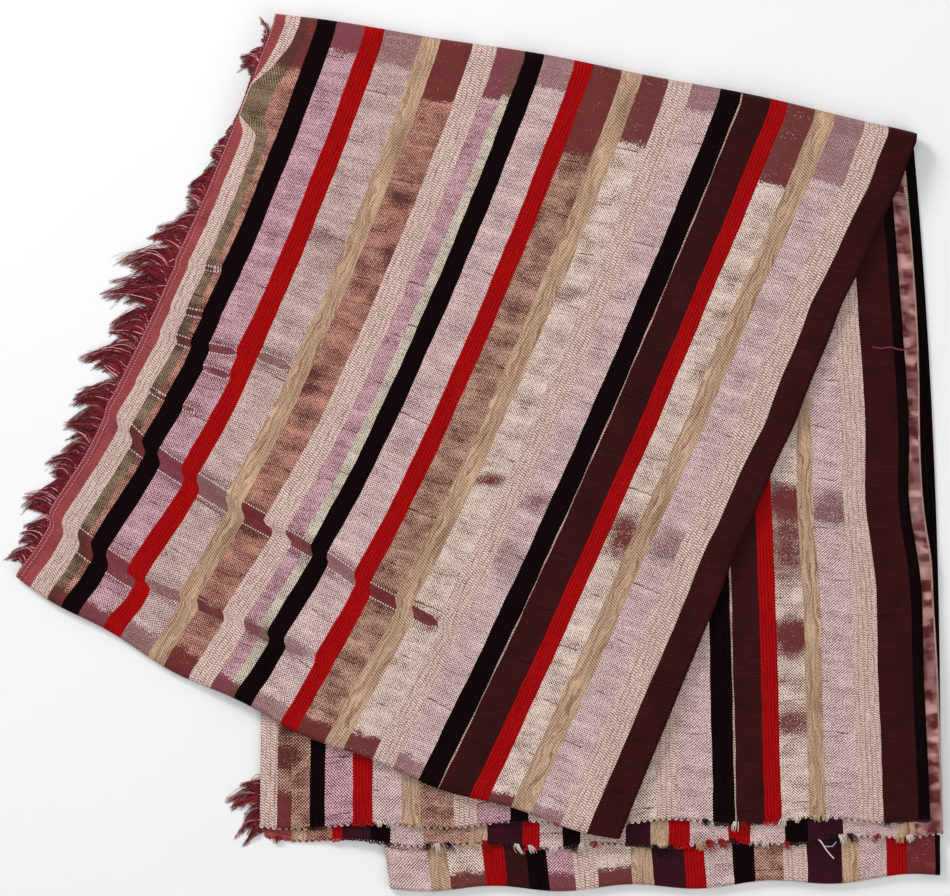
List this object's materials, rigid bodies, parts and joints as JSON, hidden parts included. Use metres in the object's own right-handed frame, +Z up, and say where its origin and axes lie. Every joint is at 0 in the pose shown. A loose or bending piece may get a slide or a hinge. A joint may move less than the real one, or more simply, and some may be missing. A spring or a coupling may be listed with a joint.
{
  "type": "folded bedspread",
  "caption": "Handwoven striped bedspread folded back and forth into a flat bundle, its top layer turned over at a slant, with warp fringe at the left.",
  "frame": {"origin": "centre of the bounding box, on the surface that the bedspread lies on", "axes": "+Z up, +X to the right and +Y away from the viewer in the picture, which looks straight down"},
  "size_m": [0.7918, 0.7439, 0.0235],
  "materials": {
    "woven_cloth": "silky handwoven stripes in maroon, black, red, beige and pale pink",
    "fringe_yarn": "loose silky maroon warp yarn"
  },
  "bodies": {
    "root": {"cloth": "woven_cloth", "fringe_flap": "fringe_yarn", "fringe_corner": "fringe_yarn"}
  },
  "joints": []
}
